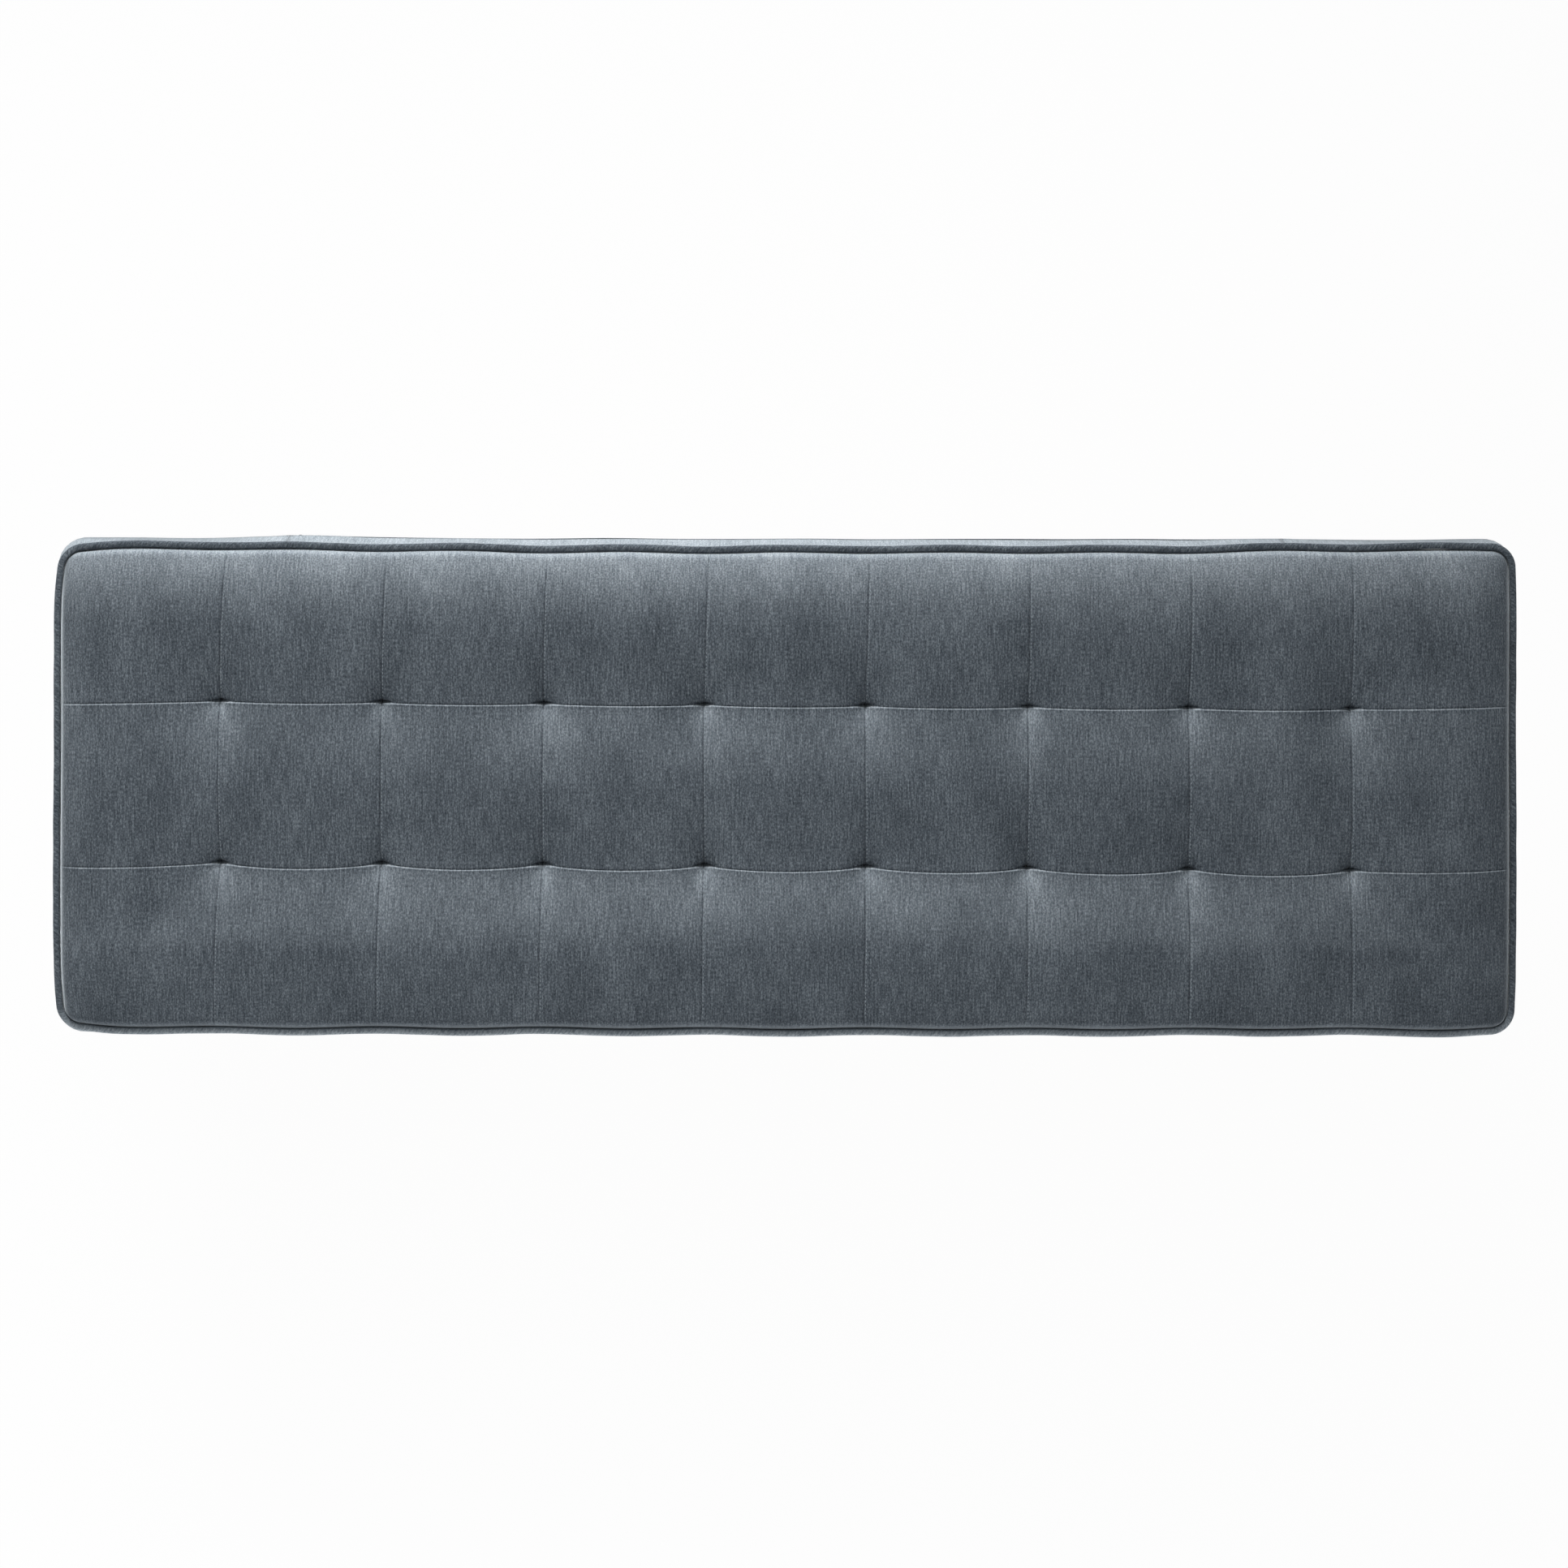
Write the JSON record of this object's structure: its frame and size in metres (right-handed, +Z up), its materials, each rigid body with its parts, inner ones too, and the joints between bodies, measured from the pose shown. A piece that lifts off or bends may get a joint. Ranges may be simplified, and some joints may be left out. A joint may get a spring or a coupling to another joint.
{
  "type": "daybed",
  "caption": "Long backless daybed: a loose box cushion in sewn and tufted velvet squares with piped edges, on a low slatted wooden base with turned legs and levelling feet.",
  "frame": {"origin": "on the floor, under the middle of the daybed", "axes": "+X along the length to the right as the picture shows it, +Y to the back, +Z up"},
  "size_m": [1.912, 0.6528, 0.4433],
  "materials": {
    "slate_velvet": "matte",
    "lining": "matte",
    "foam": "matte",
    "fibre_fill": "matte",
    "cotton_cord": "matte",
    "zip_tape": "matte",
    "zip_coil": "satin",
    "zip_metal": "satin",
    "toggle_plastic": "satin",
    "walnut": "satin",
    "beech": "satin",
    "plate_steel": "satin",
    "screw_steel": "satin",
    "nylon": "satin"
  },
  "bodies": {
    "base": {"front_rail": "walnut", "back_rail": "walnut", "left_rail": "walnut", "right_rail": "walnut", "front_ledger": "beech", "back_ledger": "beech", "leg_crossbar_left": "beech", "leg_crossbar_right": "beech", "slat_01": "beech", "slat_02": "beech", "slat_03": "beech", "slat_04": "beech", "slat_05": "beech", "slat_06": "beech", "slat_07": "beech", "slat_08": "beech", "slat_09": "beech", "slat_10": "beech", "leg_front_left": "walnut", "leg_front_right": "walnut", "leg_back_left": "walnut", "leg_back_right": "walnut", "slat_screws": "screw_steel", "ledger_screws": "screw_steel", "crossbar_screws": "screw_steel", "leg_plate_screws": "screw_steel", "corner_dowels": "beech", "leg_plates": "plate_steel", "leg_hanger_bolts": "plate_steel", "leveller_inserts": "plate_steel"},
    "cushion": {"top_panel_row_1": "slate_velvet", "top_panel_row_2": "slate_velvet", "top_panel_row_3": "slate_velvet", "top_piping": "slate_velvet", "bottom_piping": "slate_velvet", "border_front": "slate_velvet", "border_left": "slate_velvet", "border_right": "slate_velvet", "border_back_upper": "slate_velvet", "border_back_lower": "slate_velvet", "bottom_panel": "lining", "foam_core": "foam", "biscuit_fill": "fibre_fill", "top_piping_cord": "cotton_cord", "bottom_piping_cord": "cotton_cord", "tufting_twine": "cotton_cord", "tuft_toggles": "toggle_plastic", "zipper_tape": "zip_tape", "zipper_coil": "zip_coil"},
    "zip_slider": {"zip_slider": "zip_metal"},
    "zip_pull": {"zip_pull": "zip_metal"},
    "leveller_front_left": {"leveller_stem_front_left": "plate_steel", "leveller_pad_front_left": "nylon"},
    "leveller_front_right": {"leveller_stem_front_right": "plate_steel", "leveller_pad_front_right": "nylon"},
    "leveller_back_left": {"leveller_stem_back_left": "plate_steel", "leveller_pad_back_left": "nylon"},
    "leveller_back_right": {"leveller_stem_back_right": "plate_steel", "leveller_pad_back_right": "nylon"}
  },
  "joints": [
    {"name": "cushion_lift", "type": "slide", "parent": "base", "child": "cushion", "axis": [0, 0, 1], "range_m": [0, 0.3]},
    {"name": "zip_run", "type": "slide", "parent": "cushion", "child": "zip_slider", "axis": [1, 0, 0], "range_m": [0, 1.27]},
    {"name": "zip_pull_flip", "type": "hinge", "parent": "zip_slider", "child": "zip_pull", "pos_m": [-0.638, 0.32654, 0.3566], "axis": [0, 0, 1], "range_deg": [0, 175]},
    {"name": "level_front_left", "type": "slide", "parent": "base", "child": "leveller_front_left", "axis": [0, 0, -1], "range_m": [0, 0.012]},
    {"name": "level_front_right", "type": "slide", "parent": "base", "child": "leveller_front_right", "axis": [0, 0, -1], "range_m": [0, 0.012]},
    {"name": "level_back_left", "type": "slide", "parent": "base", "child": "leveller_back_left", "axis": [0, 0, -1], "range_m": [0, 0.012]},
    {"name": "level_back_right", "type": "slide", "parent": "base", "child": "leveller_back_right", "axis": [0, 0, -1], "range_m": [0, 0.012]}
  ]
}
